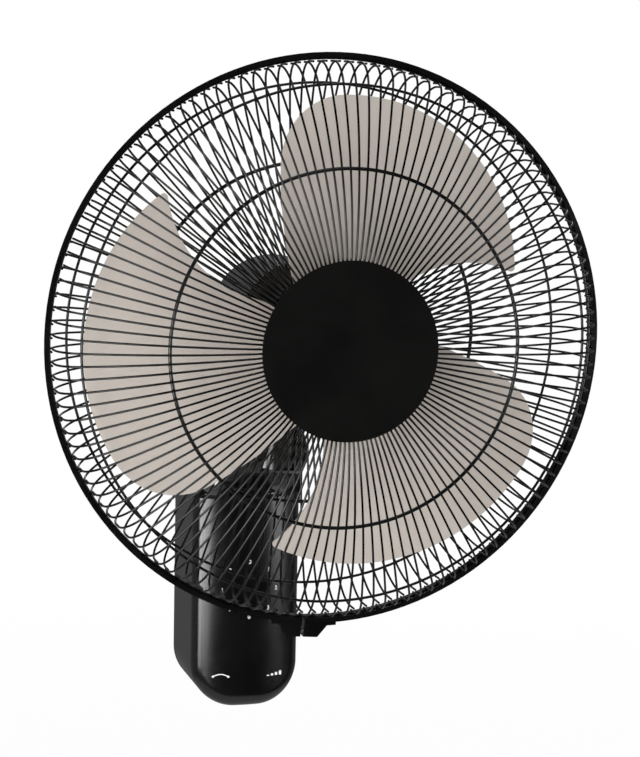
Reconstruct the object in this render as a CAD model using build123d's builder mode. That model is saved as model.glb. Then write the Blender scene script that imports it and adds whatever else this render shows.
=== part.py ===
from build123d import *
from math import cos, radians, sin, sqrt
import os

# Wall mounted fan: a 440 mm wire guard on a motor that swings and tilts on a neck, over a box
# that hangs on a wall plate. Millimetres. The wall is the plane y = 0, the fan looks along -Y,
# +Z is up and +X is to the right of someone who faces it. The origin is on the wall, midway
# between the two wall screws.

os.makedirs("parts", exist_ok=True)

# Clearances
seat_gap = 0.3  # between curved pieces that seat on each other, and wires and their rings
turn_gap = 0.05  # radial, round what turns or slides in a hole
fixed_gap = 0.02  # radial, round what is held fast in a hole
washer_gap = 0.15  # each side of a washer

# Where the fan stands
fan_height = 250  # fan axis above the wall plate's centre
rim_distance = 317  # wall to the middle of the rim band

# Guard
rim_radius = 220
rim_band_depth = 12
rim_taper = 2  # how much smaller the band's rear edge is
rim_flange_cover = 0.95  # how far the band's flanges reach over the edge rings
wire_diameter = 1.7
wire_count = 128
front_wire_start = 0.6  # angle from straight down to the first front wire
rear_wire_start = 1.4
wire_end = 1  # how far from the rim plane a wire stops
edge_ring_diameter = 2.6
band_wall = 2.75  # band outside the edge rings
outer_ring_diameter = 2.1
outer_wire_radius = 197.5  # where the wires cross the outer rings
middle_ring_diameter = 2.8
middle_wire_radius = 135.6
front_outer_wire = 34.1  # how far forward the front wires stand at the outer ring
front_middle_wire = 55.3
knee_radius = 75
front_knee_wire = 61
front_root_radius = 56
front_root_wire = 56.4
rear_outer_wire = 35.6  # how far back the rear wires stand at the outer ring
rear_middle_wire = 54.9
rear_root_radius = 54
rear_root_wire = 56.6
rear_knee_wire = 58.4
hub_plate_thickness = 2
front_hub_plate_radius = 62
rear_hub_plate_radius = 58
cap_radius = 67.9
cap_edge_front = 63.75
cap_edge_depth = 2.35
cap_dome = 2.2
cap_flat_radius = 8  # the dome's middle is flat
cap_wall = 2.2
cap_boss_radius = 6
cap_screw_radius = 2
cap_screw_head_radius = 4
cap_screw_head_height = 2.5

# Clip at the foot of the rim band
clip_angle = 4.3  # turned this far towards -X from the lowest point
clip_gap = 2.4
clip_flange_length = 25
clip_flange_thickness = 2
clip_foot_height = 9
clip_foot_top = 20
clip_foot_bottom = 12.5
clip_foot_depth = 9
clip_screw_radius = 1.6
clip_screw_head_radius = 3
clip_screw_head_height = 2.2
clip_screw_drop = 5
clip_bore_depth = 6  # from the split to where the screw's head and nut seat

# Blade
blade_thickness = 1.8
blade_point = (73, 167)  # pointed corner: angle clockwise from the top, and radius
blade_point_round = 3
blade_round = (-13, 183)  # rounded corner
blade_round_radius = 53
blade_rim_middle = (34, 187.5)
blade_point_middle = (61.5, 120)
blade_point_waist = (57.5, 82)
blade_point_root = 68
blade_round_middle = (-21.3, 121)
blade_round_waist = (-36, 60)
blade_round_root = -42
blade_rise = 0.452  # axial rise for each degree round the hub
blade_level = 20  # angle where the blade crosses the rim plane
blade_count = 3
hub_radius = 42
hub_front = 28
hub_back = 24
hub_wall = 3
hub_boss_radius = 10
hub_pin_slot = 3
shaft_radius = 4
drive_pin_radius = 1.5
drive_pin_length = 16
blade_nut_radius = 14
blade_nut_height = 12
shaft_past_hub = 9

# Motor
motor_front = 60  # rim plane to the motor's front face
motor_length = 130
cover_front_radius = 55.5
cover_back_radius = 51
cover_corner_radius = 18
cover_wall = 2.5
cover_slot_count = 12
cover_slot_width = 4
cover_slot_inner = 14
cover_slot_outer = 32
bracket_thickness = 6
nose_radius = 15
nose_length = 16
guard_nut_radius = 24
guard_nut_height = 9
bearing_radius = 11
bearing_width = 7
stator_radius = 42
stator_length = 34
stator_front = 78  # rim plane to the stator's front face
air_gap = 0.5
winding_inner = 26.5
winding_outer = 38
winding_length = 8
rotor_inset = 1
rear_bracket_radius = 48
rear_bracket_thickness = 4
rear_bracket_gap = 3
rear_boss_depth = 7
motor_bolt_radius = 2
motor_bolt_circle = 44.5
motor_bolt_head_radius = 3.4
motor_bolt_head_height = 3
motor_bolt_grip = 4
side_screw_radius = 1.5
side_screw_head_radius = 3
side_screw_head_height = 1.8
side_screw_length = 9

# Swing joint between the motor and the neck
swing_distance = 167  # wall to the swing axis
column_radius = 24
column_wall = 2.5
column_seam = 160.4  # height of the joint between neck and column
column_joint_gap = 0.6
post_radius = 8
post_bottom = 126
sleeve_radius = 13
sleeve_bottom = 162
sleeve_top = 209
washer_rim = 4.4  # how far a post washer reaches past the post
post_washer_thickness = 1.7
swing_arm_thickness = 3
swing_arm_hub = 9
swing_arm_rim = 2.5
arm_screw_radius = 2
arm_screw_head_radius = 4
arm_screw_head_height = 2.5
arm_screw_length = 14
crank_offset = 12  # swing axis to crank axis
crank_throw = 8.5
crank_pin_radius = 2
crank_pin_tip = 0.5  # pin end above the post
crank_pin_play = 1.2  # room each side of the pin in the swing arm's slot
crank_rim = 1.5
crank_ends = 108  # degrees the crank turns each way
crank_thickness = 2.5
crank_shaft_radius = 3
crank_shaft_length = 9
shelf_thickness = 2.5
shelf_half_width = 18
shelf_back = 138  # distance of the shelf's rear edge from the wall
bracket_plate_thickness = 6
bracket_plate_half_width = 20
bracket_plate_bottom = 204
bracket_plate_top = 232
bracket_web_half_width = 5
bracket_web_depth = 4
bracket_screw_radius = 2
bracket_screw_head_radius = 3.6
bracket_screw_head_height = 2.6
bracket_screw_spacing = 28
bracket_screw_height = 214
swing_motor_radius = 16
swing_motor_height = 15

# Tilt joint between the neck and the base
pivot_distance = 62  # wall to the tilt axis
pivot_height = 99
tongue_radius = 12.5
tongue_half_width = 11
tilt_washer_thickness = 1
tilt_washer_radius = 9
lug_radius = 13
lug_thickness = 6.2
tilt_bolt_radius = 3
tilt_bolt_head_radius = 5.6
tilt_bolt_head_height = 4
tilt_nut_radius = 5.4
tilt_nut_height = 4
bolt_end = 1.5  # bolt past its nut
spot_face_margin = 0.8  # round the bolt's head and the nut
arm_half_width = 23.5
arm_top_radius = 20
arm_top_height = 139
arm_edge_radius = 6
shoulder_radius = 19  # room round the pivot beside the tongue
column_bottom = 128
neck_floor = 124
post_boss_radius = 12.4

# Base
base_width = 96
base_depth = 88.5
base_bottom = -105.8
base_wall = 2.5
crown_radius = 115
front_edge_radius = 13
bottom_corner_radius = 38
cover_seam = 57  # wall to the seam between the front cover and the rear shell
top_seam = 76  # height of the seam under the top cover
back_recess = 3  # wall to the rear shell's back
lip_height = 10
lip_edge_radius = 4
notch_sink = 0.5  # the notches dip this far into the lip
ear_thickness = 6
ear_front = 75
ear_back = 32
ear_top = 111
ear_corner_radius = 14
lug_back = 49
boss_radius = 5
boss_bore = 3.8
boss_tip = 10
boss_spread = 72
boss_upper = 52
boss_lower = -72
cover_screw_radius = 1.6
cover_screw_head_radius = 3.3
cover_screw_head_height = 2.5
cover_screw_length = 22
screw_end_gap = 1
top_screw_radius = 1.5
top_screw_head_radius = 3
top_screw_head_height = 2.2
top_screw_spread = 70
top_screw_distance = 22
top_boss_radius = 4
top_boss_depth = 3.5
top_screw_bite = 5
shelf_reach = 16
shelf_half_depth = 7

# Wall plate
plate_width = 60
plate_thickness = 2
plate_top = 65
plate_bottom = -85
wall_screw_spacing = 90
wall_screw_hole = 2.6
wall_screw_access = 7
hook_width = 10
hook_spread = 42
hook_height = 28
hook_lip = 6
hook_side_gap = 0.5
tab_length = 16
tab_width = 20
lock_screw_radius = 2
lock_screw_distance = 12
lock_screw_past_tab = 4
lock_screw_head_radius = 3.6
lock_screw_head_height = 2.6
lock_boss_radius = 6
lock_boss_height = 8
lock_hole_gap = 0.3

# Controls
dial_height = 1.5
dial_radius = 16.7
dial_thickness = 3.5
dial_dish = 1
dial_dish_radius = 13
dial_recess = 0.4
dial_ring_wall = 3
dial_ring_depth = 10
spindle_radius = 3
spindle_depth = 8
switch_flange_thickness = 2
switch_radius = 15
switch_depth = 16
lever_hub_radius = 8
lever_thickness = 2
lever_half_width = 3
lever_eye_radius = 4.5
lever_eye_bore = 2
lever_pin_depth = 6
lever_gap = 0.5
cord_spread = 48  # between the two pull cord exits
cord_distance = 45
eyelet_radius = 3.6
eyelet_bore = 1.8
eyelet_height = 8
eyelet_sink = 1.5  # eyelet below the shell
grommet_radius = 5.5
grommet_bore = 3.2
grommet_height = 7
grommet_distance = 36
swing_switch_width = 20
swing_switch_depth = 18
swing_switch_top = -38
swing_switch_bottom = -62
pull_rod_radius = 1.5
pull_rod_inside = 10
pull_rod_outside = 14
pull_eye_radius = 4
pull_eye_bore = 2
pull_eye_thickness = 2.4
switch_post_inset = 3
terminal_width = 30
terminal_height = 18
terminal_depth = 14
terminal_level = 20
capacitor_width = 38
capacitor_height = 20
capacitor_depth = 26
capacitor_level = -20

# Planes and axes that the pieces share
rim_y = -rim_distance
fan_front = Plane(origin=(0, rim_y, fan_height), x_dir=(1, 0, 0), z_dir=(0, -1, 0))
meridian = Plane(origin=(0, rim_y, fan_height), x_dir=(1, 0, 0), z_dir=(0, 0, -1))
fan_axis = Axis((0, rim_y, fan_height), (0, -1, 0))
front_view = Plane.XZ
side_view = Plane.YZ
swing_y = -swing_distance
crank_y = swing_y + crank_offset
pivot = (-pivot_distance, pivot_height)


def disc(back, front, outer, inner=0):
    # A turned ring on the fan axis, from back to front, measured forward of the rim plane.
    with BuildPart() as ring:
        with BuildSketch(fan_front.offset(back)):
            Circle(outer)
            if inner:
                Circle(inner, mode=Mode.SUBTRACT)
        extrude(amount=front - back)
    return ring.part


def upright(x, y, bottom, top, outer, inner=0):
    # A round column or ring that stands on its end.
    with BuildPart() as column:
        with BuildSketch(Plane.XY.offset(bottom)):
            with Locations((x, y)):
                Circle(outer)
                if inner:
                    Circle(inner, mode=Mode.SUBTRACT)
        extrude(amount=top - bottom)
    return column.part


def outward(x, z, back, front, outer, inner=0):
    # A round piece square to the wall, from back to front, both measured from the wall.
    with BuildPart() as stud:
        with BuildSketch(front_view.offset(back)):
            with Locations((x, z)):
                Circle(outer)
                if inner:
                    Circle(inner, mode=Mode.SUBTRACT)
        extrude(amount=front - back)
    return stud.part


def crosswise(y, z, left, right, outer, inner=0):
    # A round piece along X.
    with BuildPart() as rod:
        with BuildSketch(side_view.offset(left)):
            with Locations((y, z)):
                Circle(outer)
                if inner:
                    Circle(inner, mode=Mode.SUBTRACT)
        extrude(amount=right - left)
    return rod.part


def base_plan(inset):
    # Plan of the box, drawn in all round but at the wall: straight sides and a crowned front.
    with BuildSketch() as plan:
        with Locations((0, -base_depth / 2)):
            Rectangle(base_width - 2 * inset, base_depth)
        with Locations((0, crown_radius - base_depth)):
            Circle(crown_radius - inset, mode=Mode.INTERSECT)
        fillet(plan.vertices().group_by(Axis.Y)[0], front_edge_radius - inset)
    return plan.sketch


def base_form(inset):
    # The box below the top seam, drawn in by inset: a round foot and one rounded edge round the front.
    with BuildPart() as form:
        with BuildSketch(front_view) as outline:
            with Locations((0, (top_seam + base_bottom + inset) / 2)):
                Rectangle(base_width - 2 * inset, top_seam - base_bottom - inset)
            fillet(outline.vertices().group_by(Axis.Y)[0], bottom_corner_radius - inset)
        extrude(amount=base_depth)
        with BuildSketch(Plane.XY.offset(base_bottom)):
            with Locations((0, crown_radius - base_depth)):
                Circle(crown_radius - inset)
        extrude(amount=top_seam - base_bottom, mode=Mode.INTERSECT)
        crown_edges = form.faces().sort_by(Axis.Y)[0].edges()
        fillet(crown_edges.sort_by(Axis.Z)[:-1], front_edge_radius - inset)
    return form.part


outer_form = base_form(0)
inner_form = base_form(base_wall)
boss_places = [(side * boss_spread / 2, level) for side in (-1, 1) for level in (boss_upper, boss_lower)]
shell_back = back_recess + base_wall  # wall to the inside of the rear shell's back

# Front cover, with the dial's opening and four screw bosses
with BuildPart() as front_cover:
    add(outer_form)
    add(inner_form, mode=Mode.SUBTRACT)
    for x, z in boss_places:
        add(outward(x, z, cover_seam, base_depth, boss_radius))
    add(outward(0, dial_height, base_depth - base_wall - dial_ring_depth, base_depth,
                dial_radius + seat_gap + dial_ring_wall))
    add(outer_form, mode=Mode.INTERSECT)
    split(bisect_by=front_view.offset(cover_seam), keep=Keep.TOP)
    with BuildSketch(front_view.offset(cover_seam)):
        with Locations((0, dial_height)):
            Circle(dial_radius + seat_gap)
    extrude(amount=base_depth, mode=Mode.SUBTRACT)
    with BuildSketch(front_view.offset(cover_seam)):
        with Locations(*boss_places):
            Circle(cover_screw_radius + fixed_gap)
    extrude(amount=cover_screw_length - boss_tip + screw_end_gap, mode=Mode.SUBTRACT)
front_cover.part.label = "front_cover"
export_step(front_cover.part, "parts/front_cover.step")

# Rear shell, which hangs on the wall plate's hooks and carries the switches
hook_places = [(side * hook_spread / 2, hook_height) for side in (-1, 1)]
wall_screw_places = [(0, side * wall_screw_spacing / 2) for side in (-1, 1)]
top_screw_places = [(side * top_screw_spread / 2, -top_screw_distance) for side in (-1, 1)]
cord_places = [(side * cord_spread / 2, -cord_distance) for side in (-1, 1)]
shelf_top = top_seam - top_boss_depth
switch_post_front = cord_distance - swing_switch_depth / 2
swing_switch_level = (swing_switch_top + swing_switch_bottom) / 2
swing_switch_height = swing_switch_top - swing_switch_bottom


def foot_level(x):
    # Height of the box's round foot at a distance x from its middle.
    past_flat = x - (base_width / 2 - bottom_corner_radius)
    return base_bottom + bottom_corner_radius - sqrt(bottom_corner_radius ** 2 - max(past_flat, 0) ** 2)


with BuildPart() as shell_room:
    add(inner_form)
    split(bisect_by=front_view.offset(shell_back), keep=Keep.TOP)

with BuildPart() as plate_recess:
    add(inner_form)
    split(bisect_by=front_view.offset(back_recess), keep=Keep.BOTTOM)

with BuildPart() as rear_shell:
    add(outer_form)
    add(shell_room.part, mode=Mode.SUBTRACT)
    for x, z in boss_places:
        add(outward(x, z, back_recess, cover_seam, boss_radius))
    # Post under the swing switch, and shelves that the top cover is screwed to
    with BuildSketch(front_view.offset(back_recess)):
        with Locations((-cord_spread / 2, swing_switch_level)):
            Rectangle(swing_switch_width - 2 * switch_post_inset, swing_switch_height - 2 * switch_post_inset)
    extrude(amount=switch_post_front - back_recess)
    for side in (-1, 1):
        with BuildSketch(Plane.XY.offset(shelf_top)):
            with Locations((side * (base_width - shelf_reach) / 2, -top_screw_distance)):
                Rectangle(shelf_reach, 2 * shelf_half_depth)
        extrude(amount=-base_wall)
    add(upright(0, -lock_screw_distance, base_bottom, base_bottom + lock_boss_height, lock_boss_radius))
    split(bisect_by=front_view.offset(cover_seam), keep=Keep.BOTTOM)
    add(plate_recess.part, mode=Mode.SUBTRACT)
    # Slots for the plate's hooks and tab, and room to reach the wall screws
    with BuildSketch(front_view.offset(back_recess)):
        with Locations(*[(x, z - hook_lip / 2) for x, z in hook_places]):
            Rectangle(hook_width + 2 * hook_side_gap, hook_lip + plate_thickness)
        with Locations((0, plate_bottom + plate_thickness / 2)):
            Rectangle(tab_width + 2 * hook_side_gap, plate_thickness + 2 * hook_side_gap)
        with Locations(*wall_screw_places):
            Circle(wall_screw_access)
    extrude(amount=base_wall, mode=Mode.SUBTRACT)
    # Screw holes: wide from the back, narrow through the last of each boss
    for x, z in boss_places:
        add(outward(x, z, back_recess, cover_seam - boss_tip, boss_bore), mode=Mode.SUBTRACT)
        add(outward(x, z, back_recess, cover_seam, cover_screw_radius + seat_gap), mode=Mode.SUBTRACT)
    for x, y in top_screw_places:
        add(upright(x, y, shelf_top - base_wall, shelf_top, top_screw_radius + seat_gap), mode=Mode.SUBTRACT)
    for x, y in cord_places:
        eyelet_top = foot_level(abs(x)) - eyelet_sink + eyelet_height
        add(upright(x, y, base_bottom, eyelet_top, eyelet_radius + fixed_gap), mode=Mode.SUBTRACT)
    grommet_top = foot_level(0) - eyelet_sink + grommet_height
    add(upright(0, -grommet_distance, base_bottom, grommet_top, grommet_radius + fixed_gap),
        mode=Mode.SUBTRACT)
    add(upright(0, -lock_screw_distance, base_bottom, base_bottom + lock_boss_height,
                lock_screw_radius + lock_hole_gap), mode=Mode.SUBTRACT)
    add(upright(0, -lock_screw_distance, base_bottom, base_bottom + lock_screw_head_height,
                lock_screw_head_radius + lock_hole_gap), mode=Mode.SUBTRACT)
rear_shell.part.label = "rear_shell"
export_step(rear_shell.part, "parts/rear_shell.step")

# Wall plate: bent sheet with two hooks, a tab for the lock screw and two wall screw holes
hook_reach = shell_back + seat_gap + plate_thickness
with BuildPart() as wall_plate:
    with BuildSketch(front_view):
        with Locations((0, (plate_top + plate_bottom) / 2)):
            Rectangle(plate_width, plate_top - plate_bottom)
        with Locations(*wall_screw_places):
            Circle(wall_screw_hole, mode=Mode.SUBTRACT)
    extrude(amount=plate_thickness)
    with BuildSketch(front_view):
        with Locations(*hook_places):
            Rectangle(hook_width, plate_thickness)
    extrude(amount=hook_reach)
    with BuildSketch(front_view.offset(hook_reach - plate_thickness)):
        with Locations(*[(x, z + hook_lip / 2) for x, z in hook_places]):
            Rectangle(hook_width, hook_lip + plate_thickness)
    extrude(amount=plate_thickness)
    with BuildSketch(front_view):
        with Locations((0, plate_bottom + plate_thickness / 2)):
            Rectangle(tab_width, plate_thickness)
    extrude(amount=tab_length)
    add(upright(0, -lock_screw_distance, plate_bottom, plate_bottom + plate_thickness,
                lock_screw_radius + fixed_gap), mode=Mode.SUBTRACT)
wall_plate.part.label = "wall_plate"
export_step(wall_plate.part, "parts/wall_plate.step")

# Lock screw, up through the shell's foot into the plate's tab
lock_screw_top = plate_bottom + plate_thickness + lock_screw_past_tab
with BuildPart() as lock_screw:
    add(upright(0, -lock_screw_distance, base_bottom, lock_screw_top, lock_screw_radius))
    add(upright(0, -lock_screw_distance, base_bottom, base_bottom + lock_screw_head_height,
                lock_screw_head_radius))
lock_screw.part.label = "lock_screw"
export_step(lock_screw.part, "parts/lock_screw.step")

# Four screws from the back hold the front cover
screw_seat = cover_seam - boss_tip
with BuildPart() as cover_screws:
    for x, z in boss_places:
        add(outward(x, z, screw_seat - cover_screw_head_height, screw_seat, cover_screw_head_radius))
        add(outward(x, z, screw_seat, screw_seat + cover_screw_length, cover_screw_radius))
cover_screws.part.label = "cover_screws"
export_step(cover_screws.part, "parts/cover_screws.step")

# Top cover: a lip all round, two ears outside and two lugs inside that hold the tilt bolt
lug_inner = tongue_half_width + tilt_washer_thickness + 2 * washer_gap
lug_outer = lug_inner + lug_thickness
ear_inner = base_width / 2 - ear_thickness
lip_top = top_seam + lip_height
pocket_floor = top_seam + base_wall
notch_radius = (ear_inner - lug_outer) / 2
notch_level = lip_top - notch_sink + notch_radius
with BuildPart() as top_cover:
    with BuildSketch(Plane.XY.offset(top_seam)):
        add(base_plan(0))
    extrude(amount=lip_height)
    front_edges = top_cover.faces().sort_by(Axis.Z)[-1].edges().filter_by_position(
        Axis.Y, -base_depth - 1, -ear_front)
    fillet(front_edges, lip_edge_radius)
    with BuildSketch(side_view) as ear_side:
        with Locations((-(ear_front + ear_back) / 2, (top_seam + ear_top) / 2)):
            Rectangle(ear_front - ear_back, ear_top - top_seam)
        fillet(ear_side.vertices().group_by(Axis.Y)[-1], ear_corner_radius)
    extrude(amount=base_width / 2, both=True)
    # Open the fork between the ears
    with BuildSketch(front_view):
        with Locations((0, (pocket_floor + ear_top) / 2)):
            Rectangle(2 * ear_inner, ear_top - pocket_floor)
    extrude(amount=lug_back, mode=Mode.SUBTRACT)
    with BuildSketch(front_view):
        with Locations((0, (lip_top + ear_top) / 2)):
            Rectangle(2 * ear_inner, ear_top - lip_top)
    extrude(amount=base_depth, mode=Mode.SUBTRACT)
    # Lugs, standing in a block that the two round notches are cut from
    with BuildSketch(side_view):
        with Locations((-(ear_front + lug_back) / 2, (pocket_floor + notch_level) / 2)):
            Rectangle(ear_front - lug_back, notch_level - pocket_floor)
    extrude(amount=ear_inner, both=True)
    with BuildSketch(side_view):
        with Locations(pivot):
            Circle(lug_radius)
        with Locations((-pivot_distance, (pivot_height + lip_top) / 2)):
            Rectangle(2 * lug_radius, pivot_height - lip_top)
    extrude(amount=lug_outer, both=True)
    with BuildSketch(front_view):
        with Locations(*[(side * (lug_outer + notch_radius), notch_level) for side in (-1, 1)]):
            Circle(notch_radius)
        with Locations((0, lip_top + lug_radius * 2)):
            Rectangle(2 * lug_inner, 4 * lug_radius)
    extrude(amount=base_depth, mode=Mode.SUBTRACT)
    # Hollow under the lip, the tilt bolt's hole and the screw bosses
    with BuildSketch(Plane.XY.offset(top_seam)):
        add(base_plan(base_wall))
        with Locations((0, -lug_back / 2)):
            Rectangle(base_width, lug_back, mode=Mode.SUBTRACT)
    extrude(amount=lip_height - base_wall, mode=Mode.SUBTRACT)
    for x, y in top_screw_places:
        add(upright(x, y, shelf_top, top_seam, top_boss_radius))
        add(upright(x, y, shelf_top, shelf_top + top_screw_bite, top_screw_radius + fixed_gap),
            mode=Mode.SUBTRACT)
    add(crosswise(*pivot, -lug_outer, lug_outer, tilt_bolt_radius + fixed_gap), mode=Mode.SUBTRACT)
    for side in (-1, 1):
        add(crosswise(*pivot, side * lug_outer, side * (lug_outer + tilt_bolt_head_height),
                      tilt_bolt_head_radius + spot_face_margin), mode=Mode.SUBTRACT)
top_cover.part.label = "top_cover"
export_step(top_cover.part, "parts/top_cover.step")

# Two screws up through the shelves into the top cover
with BuildPart() as top_screws:
    for x, y in top_screw_places:
        screw_foot = shelf_top - base_wall
        add(upright(x, y, screw_foot - top_screw_head_height, screw_foot, top_screw_head_radius))
        add(upright(x, y, screw_foot, shelf_top + top_screw_bite - fixed_gap, top_screw_radius))
top_screws.part.label = "top_screws"
export_step(top_screws.part, "parts/top_screws.step")

# Tilt bolt and nut across the lugs
with BuildPart() as tilt_bolt:
    add(crosswise(*pivot, -lug_outer, lug_outer + tilt_nut_height + bolt_end, tilt_bolt_radius))
    with BuildSketch(side_view.offset(-lug_outer)):
        with Locations(pivot):
            RegularPolygon(tilt_bolt_head_radius, 6)
    extrude(amount=-tilt_bolt_head_height)
tilt_bolt.part.label = "tilt_bolt"
export_step(tilt_bolt.part, "parts/tilt_bolt.step")

with BuildPart() as tilt_nut:
    with BuildSketch(side_view.offset(lug_outer)):
        with Locations(pivot):
            RegularPolygon(tilt_nut_radius, 6)
            Circle(tilt_bolt_radius + fixed_gap, mode=Mode.SUBTRACT)
    extrude(amount=tilt_nut_height)
tilt_nut.part.label = "tilt_nut"
export_step(tilt_nut.part, "parts/tilt_nut.step")

# Friction washers between the lugs and the neck's tongue
with BuildPart() as tilt_washers:
    for side in (-1, 1):
        inner_face = side * (tongue_half_width + washer_gap)
        outer_face = inner_face + side * tilt_washer_thickness
        add(crosswise(*pivot, inner_face, outer_face, tilt_washer_radius, tilt_bolt_radius + fixed_gap))
tilt_washers.part.label = "tilt_washers"
export_step(tilt_washers.part, "parts/tilt_washers.step")

# Speed dial: a dished knob on a spindle
dial_front = base_depth - dial_recess
dial_back = dial_front - dial_thickness
switch_front = base_depth - base_wall - dial_ring_depth
switch_back = switch_front - switch_flange_thickness - switch_depth
with BuildPart() as speed_dial:
    add(outward(0, dial_height, dial_back, dial_front, dial_radius))
    add(outward(0, dial_height, dial_front - dial_dish, dial_front, dial_dish_radius), mode=Mode.SUBTRACT)
    add(outward(0, dial_height, switch_front - spindle_depth, dial_back, spindle_radius))
speed_dial.part.label = "speed_dial"
export_step(speed_dial.part, "parts/speed_dial.step")

# Rotary speed switch behind the dial
switch_flange_radius = dial_radius + seat_gap + dial_ring_wall
with BuildPart() as speed_switch:
    add(outward(0, dial_height, switch_front - switch_flange_thickness, switch_front, switch_flange_radius))
    add(outward(0, dial_height, switch_back, switch_front - switch_flange_thickness, switch_radius))
    add(outward(0, dial_height, switch_back, switch_front, spindle_radius + turn_gap), mode=Mode.SUBTRACT)
speed_switch.part.label = "speed_switch"
export_step(speed_switch.part, "parts/speed_switch.step")

# Lever that the speed cord pulls down to step the switch round
lever_front = switch_back - lever_gap
eye_place = (cord_spread / 2, dial_height)
with BuildPart() as speed_pull_lever:
    with BuildSketch(front_view.offset(lever_front - lever_thickness)):
        with Locations((0, dial_height)):
            Circle(lever_hub_radius)
        with Locations((cord_spread / 4, dial_height)):
            Rectangle(cord_spread / 2, 2 * lever_half_width)
        with Locations(eye_place):
            Circle(lever_eye_radius)
            Circle(lever_eye_bore, mode=Mode.SUBTRACT)
    extrude(amount=lever_thickness)
    add(outward(0, dial_height, lever_front, switch_back + lever_pin_depth, spindle_radius))
speed_pull_lever.part.label = "speed_pull_lever"
export_step(speed_pull_lever.part, "parts/speed_pull_lever.step")

# Swing switch on its post, and the sprung rod that the swing cord pulls down
swing_switch_x = -cord_spread / 2
with BuildPart() as swing_switch:
    with BuildSketch(front_view.offset(switch_post_front)):
        with Locations((swing_switch_x, swing_switch_level)):
            Rectangle(swing_switch_width, swing_switch_height)
    extrude(amount=swing_switch_depth)
    add(upright(swing_switch_x, -cord_distance, swing_switch_bottom,
                swing_switch_bottom + pull_rod_inside + screw_end_gap, pull_rod_radius + turn_gap),
        mode=Mode.SUBTRACT)
swing_switch.part.label = "swing_switch"
export_step(swing_switch.part, "parts/swing_switch.step")

with BuildPart() as swing_pull_rod:
    add(upright(swing_switch_x, -cord_distance, swing_switch_bottom - pull_rod_outside,
                swing_switch_bottom + pull_rod_inside, pull_rod_radius))
    eye_level = swing_switch_bottom - pull_rod_outside - pull_eye_bore
    add(outward(swing_switch_x, eye_level, cord_distance - pull_eye_thickness / 2,
                cord_distance + pull_eye_thickness / 2, pull_eye_radius))
    add(outward(swing_switch_x, eye_level, cord_distance - pull_eye_thickness / 2,
                cord_distance + pull_eye_thickness / 2, pull_eye_bore), mode=Mode.SUBTRACT)
swing_pull_rod.part.label = "swing_pull_rod"
export_step(swing_pull_rod.part, "parts/swing_pull_rod.step")

# Eyelets for the two pull cords and a grommet for the mains lead, in the shell's foot
with BuildPart() as cord_eyelets:
    for x, y in cord_places:
        eyelet_bottom = foot_level(abs(x)) - eyelet_sink
        add(upright(x, y, eyelet_bottom, eyelet_bottom + eyelet_height, eyelet_radius, eyelet_bore))
cord_eyelets.part.label = "cord_eyelets"
export_step(cord_eyelets.part, "parts/cord_eyelets.step")

with BuildPart() as mains_grommet:
    grommet_bottom = foot_level(0) - eyelet_sink
    add(upright(0, -grommet_distance, grommet_bottom, grommet_bottom + grommet_height,
                grommet_radius, grommet_bore))
mains_grommet.part.label = "mains_grommet"
export_step(mains_grommet.part, "parts/mains_grommet.step")

# Terminal block and run capacitor on the shell's back
with BuildPart() as terminal_block:
    with BuildSketch(front_view.offset(shell_back)):
        with Locations((0, terminal_level)):
            Rectangle(terminal_width, terminal_height)
    extrude(amount=terminal_depth)
terminal_block.part.label = "terminal_block"
export_step(terminal_block.part, "parts/terminal_block.step")

with BuildPart() as capacitor:
    with BuildSketch(front_view.offset(shell_back)):
        with Locations((0, capacitor_level)):
            Rectangle(capacitor_width, capacitor_height)
    extrude(amount=capacitor_depth)
capacitor.part.label = "capacitor"
export_step(capacitor.part, "parts/capacitor.step")

boss_top = sleeve_bottom - post_washer_thickness - 2 * washer_gap
post_top = sleeve_top + post_washer_thickness + 2 * washer_gap
with BuildPart() as neck:
    with BuildSketch(side_view):
        with Locations(pivot):
            Circle(tongue_radius)
        with Locations((swing_y, arm_top_height)):
            Circle(arm_top_radius)
        make_hull()
    extrude(amount=arm_half_width, both=True)
    fillet(neck.faces().sort_by(Axis.X)[0].edges(), arm_edge_radius)
    fillet(neck.faces().sort_by(Axis.X)[-1].edges(), arm_edge_radius)
    # Room beside the tongue for the lugs
    for side in (-1, 1):
        add(crosswise(*pivot, side * tongue_half_width, side * (arm_half_width + 1), shoulder_radius),
            mode=Mode.SUBTRACT)
    add(upright(0, swing_y, column_bottom, column_seam, column_radius))
    # Hollow column with a boss for the post
    add(upright(0, swing_y, neck_floor, column_seam, column_radius - column_wall), mode=Mode.SUBTRACT)
    add(upright(0, swing_y, neck_floor, boss_top, post_boss_radius))
    add(upright(0, swing_y, post_bottom, boss_top, post_radius + fixed_gap), mode=Mode.SUBTRACT)
    add(crosswise(*pivot, -tongue_half_width, tongue_half_width, tilt_bolt_radius + turn_gap),
        mode=Mode.SUBTRACT)
neck.part.label = "neck"
export_step(neck.part, "parts/neck.step")

# Steel post that the head swings on
arm_screw_seat = post_top + swing_arm_thickness
with BuildPart() as swivel_post:
    add(upright(0, swing_y, post_bottom, post_top, post_radius))
    add(upright(0, swing_y, arm_screw_seat - arm_screw_length - screw_end_gap, post_top,
                arm_screw_radius + fixed_gap), mode=Mode.SUBTRACT)
swivel_post.part.label = "swivel_post"
export_step(swivel_post.part, "parts/swivel_post.step")

# Thrust washer under the head's sleeve and retaining washer above it
with BuildPart() as post_washers:
    for bottom in (boss_top + washer_gap, sleeve_top + washer_gap):
        add(upright(0, swing_y, bottom, bottom + post_washer_thickness,
                    post_radius + washer_rim, post_radius + fixed_gap))
post_washers.part.label = "post_washers"
export_step(post_washers.part, "parts/post_washers.step")

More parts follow.
